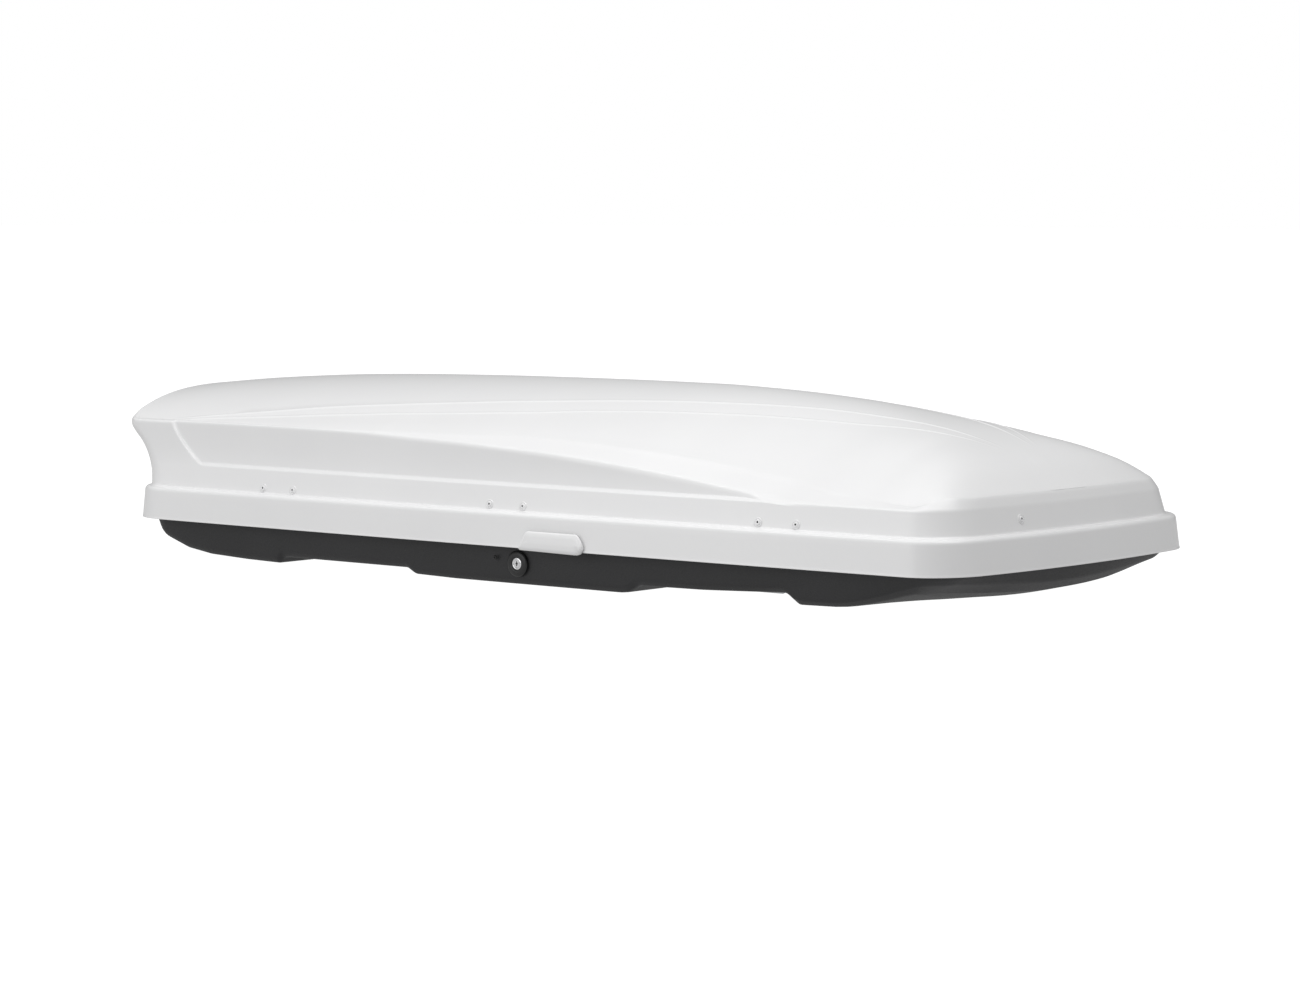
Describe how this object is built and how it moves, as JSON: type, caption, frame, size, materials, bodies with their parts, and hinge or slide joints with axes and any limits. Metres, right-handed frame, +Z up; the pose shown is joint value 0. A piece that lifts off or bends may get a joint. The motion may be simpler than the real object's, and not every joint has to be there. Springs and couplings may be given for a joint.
{
  "type": "roof cargo box",
  "caption": "Long low roof cargo box: white hinged lid with a raised deck and tail, black floor tray, key lock, gas struts and roof-bar clamps.",
  "frame": {"origin": "on the ground plane under the middle of the box", "axes": "+X towards the box's nose, -Y towards the side that opens and has the lock, +Y towards the hinges, +Z up"},
  "size_m": [2.0435, 0.8218, 0.35],
  "materials": {
    "lid_white": "satin white moulded ABS",
    "tray_black": "fine-textured black moulded ABS",
    "chrome": "polished chrome",
    "aluminium": "mill finish aluminium",
    "steel": "zinc plated steel",
    "dark_steel": "black coated steel",
    "strut_black": "smooth black paint",
    "knob_red": "moulded red plastic"
  },
  "bodies": {
    "tray": {"tray_shell": "tray_black", "lock_rail": "aluminium", "lock_surround": "tray_black", "cover_screw": "dark_steel", "rear_tray_bracket": "dark_steel", "nose_tray_bracket": "dark_steel", "hinge_1_base": "dark_steel", "hinge_1_pin": "steel", "hinge_2_base": "dark_steel", "hinge_2_pin": "steel", "hinge_3_base": "dark_steel", "hinge_3_pin": "steel", "clamp_plate_rear_near": "dark_steel", "clamp_plate_rear_far": "dark_steel", "clamp_plate_front_near": "dark_steel", "clamp_plate_front_far": "dark_steel"},
    "lid": {"lid_shell": "lid_white", "lid_grip": "lid_white", "nose_rivet": "lid_white", "lid_brace_rear": "aluminium", "lid_brace_nose": "aluminium", "rear_lid_bracket": "dark_steel", "nose_lid_bracket": "dark_steel", "side_rivet_1": "lid_white", "side_rivet_2": "lid_white", "side_rivet_3": "lid_white", "side_rivet_4": "lid_white", "side_rivet_5": "lid_white", "side_rivet_6": "lid_white", "hinge_1_leaf": "dark_steel", "hinge_2_leaf": "dark_steel", "hinge_3_leaf": "dark_steel", "keeper_1": "steel", "keeper_2": "steel", "keeper_3": "steel"},
    "lock": {"lock_barrel": "chrome", "lock_crank": "dark_steel"},
    "latch_bar": {"lock_bar": "aluminium", "lock_hook_1": "dark_steel", "lock_hook_2": "dark_steel", "lock_hook_3": "dark_steel"},
    "rear_strut_tube": {"rear_strut_cylinder": "strut_black"},
    "rear_strut_piston": {"rear_strut_rod": "steel"},
    "nose_strut_tube": {"nose_strut_cylinder": "strut_black"},
    "nose_strut_piston": {"nose_strut_rod": "steel"},
    "u_bolt_rear_near": {"u_bolt_rear_near": "steel"},
    "clamp_knob_rear_near_a": {"clamp_knob_rear_near_a": "knob_red"},
    "clamp_knob_rear_near_b": {"clamp_knob_rear_near_b": "knob_red"},
    "u_bolt_rear_far": {"u_bolt_rear_far": "steel"},
    "clamp_knob_rear_far_a": {"clamp_knob_rear_far_a": "knob_red"},
    "clamp_knob_rear_far_b": {"clamp_knob_rear_far_b": "knob_red"},
    "u_bolt_front_near": {"u_bolt_front_near": "steel"},
    "clamp_knob_front_near_a": {"clamp_knob_front_near_a": "knob_red"},
    "clamp_knob_front_near_b": {"clamp_knob_front_near_b": "knob_red"},
    "u_bolt_front_far": {"u_bolt_front_far": "steel"},
    "clamp_knob_front_far_a": {"clamp_knob_front_far_a": "knob_red"},
    "clamp_knob_front_far_b": {"clamp_knob_front_far_b": "knob_red"}
  },
  "joints": [
    {"name": "lid_hinge", "type": "hinge", "parent": "tray", "child": "lid", "pos_m": [0.041, 0.383, 0.082], "axis": [-1, 0, 0], "range_deg": [0, 60], "stiffness_Nm_per_rad": 9, "springref_deg": 131.78},
    {"name": "lock_turn", "type": "hinge", "parent": "tray", "child": "lock", "pos_m": [0.063, -0.37628, 0.038], "axis": [0, 1, 0], "range_deg": [0, 90.02]},
    {"name": "lock_bar_slide", "type": "slide", "parent": "tray", "child": "latch_bar", "axis": [1, 0, 0], "range_m": [0, 0.0198]},
    {"name": "rear_strut_swing", "type": "hinge", "parent": "tray", "child": "rear_strut_tube", "pos_m": [-0.872, 0.263, 0.07], "axis": [-1, 0, 0], "range_deg": [0, 69.14]},
    {"name": "rear_strut_stroke", "type": "slide", "parent": "rear_strut_tube", "child": "rear_strut_piston", "axis": [0, -0.9825, 0.1863], "range_m": [0, 0.09414]},
    {"name": "nose_strut_swing", "type": "hinge", "parent": "tray", "child": "nose_strut_tube", "pos_m": [0.925, 0.263, 0.07], "axis": [-1, 0, 0], "range_deg": [0, 69.14]},
    {"name": "nose_strut_stroke", "type": "slide", "parent": "nose_strut_tube", "child": "nose_strut_piston", "axis": [0, -0.9825, 0.1863], "range_m": [0, 0.09414]},
    {"name": "knob_turn_rear_near_a", "type": "hinge", "parent": "tray", "child": "clamp_knob_rear_near_a", "pos_m": [-0.42, -0.205, 0.03], "axis": [0, 0, 1], "range_deg": [0, 5761]},
    {"name": "knob_turn_rear_near_b", "type": "hinge", "parent": "tray", "child": "clamp_knob_rear_near_b", "pos_m": [-0.336, -0.205, 0.03], "axis": [0, 0, 1], "range_deg": [0, 5761]},
    {"name": "u_bolt_travel_rear_near", "type": "slide", "parent": "tray", "child": "u_bolt_rear_near", "axis": [0, 0, -1], "range_m": [0, 0.02]},
    {"name": "knob_turn_rear_far_a", "type": "hinge", "parent": "tray", "child": "clamp_knob_rear_far_a", "pos_m": [-0.42, 0.205, 0.03], "axis": [0, 0, 1], "range_deg": [0, 5761]},
    {"name": "knob_turn_rear_far_b", "type": "hinge", "parent": "tray", "child": "clamp_knob_rear_far_b", "pos_m": [-0.336, 0.205, 0.03], "axis": [0, 0, 1], "range_deg": [0, 5761]},
    {"name": "u_bolt_travel_rear_far", "type": "slide", "parent": "tray", "child": "u_bolt_rear_far", "axis": [0, 0, -1], "range_m": [0, 0.02]},
    {"name": "knob_turn_front_near_a", "type": "hinge", "parent": "tray", "child": "clamp_knob_front_near_a", "pos_m": [0.448, -0.205, 0.03], "axis": [0, 0, 1], "range_deg": [0, 5761]},
    {"name": "knob_turn_front_near_b", "type": "hinge", "parent": "tray", "child": "clamp_knob_front_near_b", "pos_m": [0.532, -0.205, 0.03], "axis": [0, 0, 1], "range_deg": [0, 5761]},
    {"name": "u_bolt_travel_front_near", "type": "slide", "parent": "tray", "child": "u_bolt_front_near", "axis": [0, 0, -1], "range_m": [0, 0.02]},
    {"name": "knob_turn_front_far_a", "type": "hinge", "parent": "tray", "child": "clamp_knob_front_far_a", "pos_m": [0.448, 0.205, 0.03], "axis": [0, 0, 1], "range_deg": [0, 5761]},
    {"name": "knob_turn_front_far_b", "type": "hinge", "parent": "tray", "child": "clamp_knob_front_far_b", "pos_m": [0.532, 0.205, 0.03], "axis": [0, 0, 1], "range_deg": [0, 5761]},
    {"name": "u_bolt_travel_front_far", "type": "slide", "parent": "tray", "child": "u_bolt_front_far", "axis": [0, 0, -1], "range_m": [0, 0.02]}
  ],
  "couplings": [
    {"joint": "lock_turn", "follows": "lock_bar_slide", "rad_per_m": 79.333},
    {"joint": "rear_strut_swing", "follows": "lid_hinge", "ratio": 1.1522},
    {"joint": "rear_strut_stroke", "follows": "lid_hinge", "m_per_rad": 0.089798},
    {"joint": "nose_strut_swing", "follows": "lid_hinge", "ratio": 1.1522},
    {"joint": "nose_strut_stroke", "follows": "lid_hinge", "m_per_rad": 0.089798},
    {"joint": "knob_turn_rear_near_a", "follows": "u_bolt_travel_rear_near", "rad_per_m": 5026.5},
    {"joint": "knob_turn_rear_near_b", "follows": "u_bolt_travel_rear_near", "rad_per_m": 5026.5},
    {"joint": "knob_turn_rear_far_a", "follows": "u_bolt_travel_rear_far", "rad_per_m": 5026.5},
    {"joint": "knob_turn_rear_far_b", "follows": "u_bolt_travel_rear_far", "rad_per_m": 5026.5},
    {"joint": "knob_turn_front_near_a", "follows": "u_bolt_travel_front_near", "rad_per_m": 5026.5},
    {"joint": "knob_turn_front_near_b", "follows": "u_bolt_travel_front_near", "rad_per_m": 5026.5},
    {"joint": "knob_turn_front_far_a", "follows": "u_bolt_travel_front_far", "rad_per_m": 5026.5},
    {"joint": "knob_turn_front_far_b", "follows": "u_bolt_travel_front_far", "rad_per_m": 5026.5}
  ]
}
